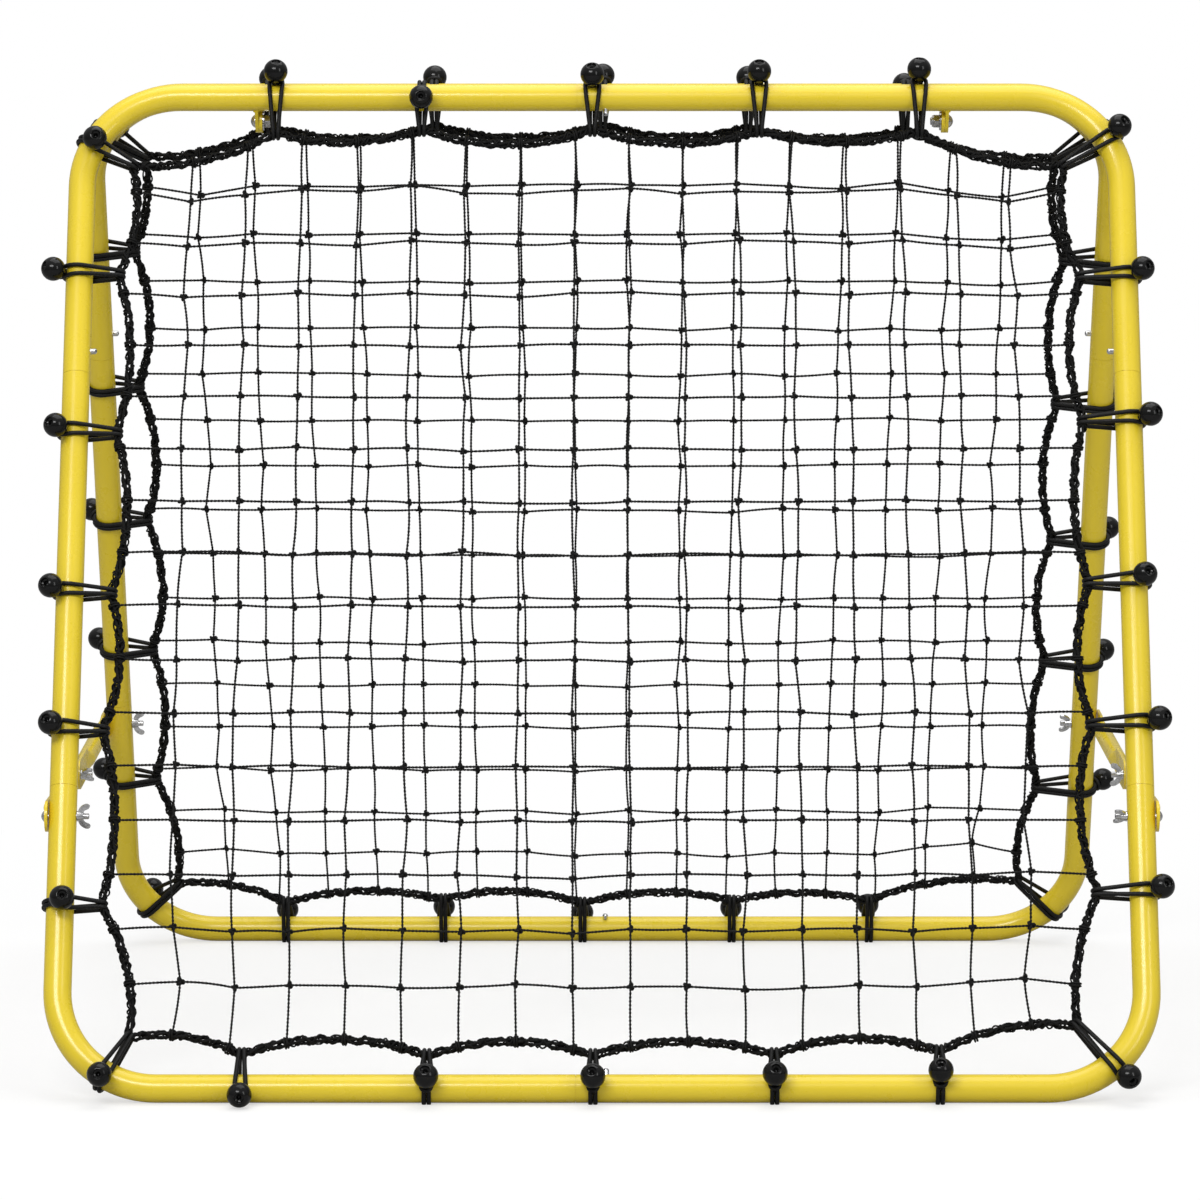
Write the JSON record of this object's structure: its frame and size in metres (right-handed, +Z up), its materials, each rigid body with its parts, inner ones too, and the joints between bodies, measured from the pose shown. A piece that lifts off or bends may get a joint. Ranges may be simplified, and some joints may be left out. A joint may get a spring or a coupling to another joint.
{
  "type": "pitch back rebounder",
  "caption": "Double-sided ball rebounder: two tubular frames hinged into an A, each with a knotted net laced in by ball bungees, held open by folding side struts.",
  "frame": {"origin": "on the floor, midway between the two bottom tubes and between the side tubes", "axes": "+X along the tubes from the left side to the right as the front thrower sees it, -Y towards the front thrower, +Z up"},
  "size_m": [1.1585, 1.0219, 1.023],
  "materials": {
    "yellow_powder_coat": "gloss powder coat",
    "zinc_steel": "bright zinc",
    "black_twine": "twisted polyethylene twine",
    "black_rope": "whipped border rope",
    "black_cord": "woven elastic cord",
    "black_plastic": "gloss"
  },
  "bodies": {
    "front_frame": {"front_top_corner_left": "yellow_powder_coat", "front_top_corner_right": "yellow_powder_coat", "front_side_tube_left": "yellow_powder_coat", "front_side_tube_right": "yellow_powder_coat", "front_bottom_corner_left": "yellow_powder_coat", "front_bottom_corner_right": "yellow_powder_coat", "front_hinge_tabs": "yellow_powder_coat", "front_strut_bolts": "zinc_steel", "front_net": "black_twine", "front_net_rope": "black_rope", "front_bungee_balls": "black_plastic", "front_bungee_cords": "black_cord", "hinge_bolts": "zinc_steel", "hinge_nuts": "zinc_steel", "hinge_washers": "zinc_steel"},
    "rear_frame": {"rear_top_corner_left": "yellow_powder_coat", "rear_top_corner_right": "yellow_powder_coat", "rear_side_tube_left": "yellow_powder_coat", "rear_side_tube_right": "yellow_powder_coat", "rear_bottom_corner_left": "yellow_powder_coat", "rear_bottom_corner_right": "yellow_powder_coat", "rear_hinge_tabs": "yellow_powder_coat", "rear_strut_bolts": "zinc_steel", "rear_net": "black_twine", "rear_net_rope": "black_rope", "rear_bungee_balls": "black_plastic", "rear_bungee_cords": "black_cord"},
    "front_strut_left": {"front_strut_left": "yellow_powder_coat", "elbow_bolt_head_left": "zinc_steel"},
    "front_strut_right": {"front_strut_right": "yellow_powder_coat", "elbow_bolt_head_right": "zinc_steel"},
    "rear_strut_left": {"rear_strut_left": "yellow_powder_coat", "elbow_bolt_stud_left": "zinc_steel"},
    "rear_strut_right": {"rear_strut_right": "yellow_powder_coat", "elbow_bolt_stud_right": "zinc_steel"},
    "front_wing_nut_left": {"front_wing_nut_left": "zinc_steel"},
    "front_wing_nut_right": {"front_wing_nut_right": "zinc_steel"},
    "rear_wing_nut_left": {"rear_wing_nut_left": "zinc_steel"},
    "rear_wing_nut_right": {"rear_wing_nut_right": "zinc_steel"},
    "elbow_wing_nut_left": {"elbow_wing_nut_left": "zinc_steel"},
    "elbow_wing_nut_right": {"elbow_wing_nut_right": "zinc_steel"},
    "front_snap_button_top": {"front_snap_button_top": "zinc_steel"},
    "front_snap_button_bottom": {"front_snap_button_bottom": "zinc_steel"},
    "front_snap_button_left": {"front_snap_button_left": "zinc_steel"},
    "front_snap_button_right": {"front_snap_button_right": "zinc_steel"},
    "rear_snap_button_top": {"rear_snap_button_top": "zinc_steel"},
    "rear_snap_button_bottom": {"rear_snap_button_bottom": "zinc_steel"},
    "rear_snap_button_left": {"rear_snap_button_left": "zinc_steel"},
    "rear_snap_button_right": {"rear_snap_button_right": "zinc_steel"}
  },
  "joints": [
    {"name": "frame_fold", "type": "hinge", "parent": "front_frame", "child": "rear_frame", "pos_m": [0, 0, 0.95083], "axis": [-1, 0, 0], "range_deg": [0, 30]},
    {"name": "front_strut_pivot_left", "type": "hinge", "parent": "front_frame", "child": "front_strut_left", "pos_m": [-0.556, -0.35039, 0.26735], "axis": [-1, 0, 0], "range_deg": [0, 76.25]},
    {"name": "front_strut_pivot_right", "type": "hinge", "parent": "front_frame", "child": "front_strut_right", "pos_m": [0.556, -0.35039, 0.26735], "axis": [-1, 0, 0], "range_deg": [0, 76.25]},
    {"name": "rear_strut_pivot_left", "type": "hinge", "parent": "rear_frame", "child": "rear_strut_left", "pos_m": [-0.556, 0.35039, 0.26735], "axis": [1, 0, 0], "range_deg": [0, 76.25]},
    {"name": "rear_strut_pivot_right", "type": "hinge", "parent": "rear_frame", "child": "rear_strut_right", "pos_m": [0.556, 0.35039, 0.26735], "axis": [1, 0, 0], "range_deg": [0, 76.25]},
    {"name": "front_wing_nut_left_spin", "type": "hinge", "parent": "front_frame", "child": "front_wing_nut_left", "pos_m": [-0.52, -0.35039, 0.26735], "axis": [1, 0, 0], "continuous": true},
    {"name": "front_wing_nut_right_spin", "type": "hinge", "parent": "front_frame", "child": "front_wing_nut_right", "pos_m": [0.52, -0.35039, 0.26735], "axis": [1, 0, 0], "continuous": true},
    {"name": "rear_wing_nut_left_spin", "type": "hinge", "parent": "rear_frame", "child": "rear_wing_nut_left", "pos_m": [-0.52, 0.35039, 0.26735], "axis": [1, 0, 0], "continuous": true},
    {"name": "rear_wing_nut_right_spin", "type": "hinge", "parent": "rear_frame", "child": "rear_wing_nut_right", "pos_m": [0.52, 0.35039, 0.26735], "axis": [1, 0, 0], "continuous": true},
    {"name": "elbow_wing_nut_left_spin", "type": "hinge", "parent": "rear_strut_left", "child": "elbow_wing_nut_left", "pos_m": [-0.547, 0, 0.25935], "axis": [1, 0, 0], "continuous": true},
    {"name": "elbow_wing_nut_right_spin", "type": "hinge", "parent": "rear_strut_right", "child": "elbow_wing_nut_right", "pos_m": [0.547, 0, 0.25935], "axis": [1, 0, 0], "continuous": true},
    {"name": "front_snap_button_top_press", "type": "slide", "parent": "front_frame", "child": "front_snap_button_top", "axis": [0, 0.4258, 0.9048], "range_m": [0, 0.0065], "stiffness_N_per_m": 150, "springref_m": -0.004},
    {"name": "front_snap_button_bottom_press", "type": "slide", "parent": "front_frame", "child": "front_snap_button_bottom", "axis": [0, -0.4258, -0.9048], "range_m": [0, 0.0065], "stiffness_N_per_m": 150, "springref_m": -0.004},
    {"name": "front_snap_button_left_press", "type": "slide", "parent": "front_frame", "child": "front_snap_button_left", "axis": [-1, 0, 0], "range_m": [0, 0.0065], "stiffness_N_per_m": 150, "springref_m": -0.004},
    {"name": "front_snap_button_right_press", "type": "slide", "parent": "front_frame", "child": "front_snap_button_right", "axis": [1, 0, 0], "range_m": [0, 0.0065], "stiffness_N_per_m": 150, "springref_m": -0.004},
    {"name": "rear_snap_button_top_press", "type": "slide", "parent": "rear_frame", "child": "rear_snap_button_top", "axis": [0, -0.4258, 0.9048], "range_m": [0, 0.0065], "stiffness_N_per_m": 150, "springref_m": -0.004},
    {"name": "rear_snap_button_bottom_press", "type": "slide", "parent": "rear_frame", "child": "rear_snap_button_bottom", "axis": [0, 0.4258, -0.9048], "range_m": [0, 0.0065], "stiffness_N_per_m": 150, "springref_m": -0.004},
    {"name": "rear_snap_button_left_press", "type": "slide", "parent": "rear_frame", "child": "rear_snap_button_left", "axis": [-1, 0, 0], "range_m": [0, 0.0065], "stiffness_N_per_m": 150, "springref_m": -0.004},
    {"name": "rear_snap_button_right_press", "type": "slide", "parent": "rear_frame", "child": "rear_snap_button_right", "axis": [1, 0, 0], "range_m": [0, 0.0065], "stiffness_N_per_m": 150, "springref_m": -0.004}
  ],
  "couplings": [
    {"joint": "front_strut_pivot_left", "follows": "frame_fold", "ratio": 2.5415},
    {"joint": "front_strut_pivot_right", "follows": "frame_fold", "ratio": 2.5415},
    {"joint": "rear_strut_pivot_left", "follows": "frame_fold", "ratio": 2.5415},
    {"joint": "rear_strut_pivot_right", "follows": "frame_fold", "ratio": 2.5415}
  ]
}
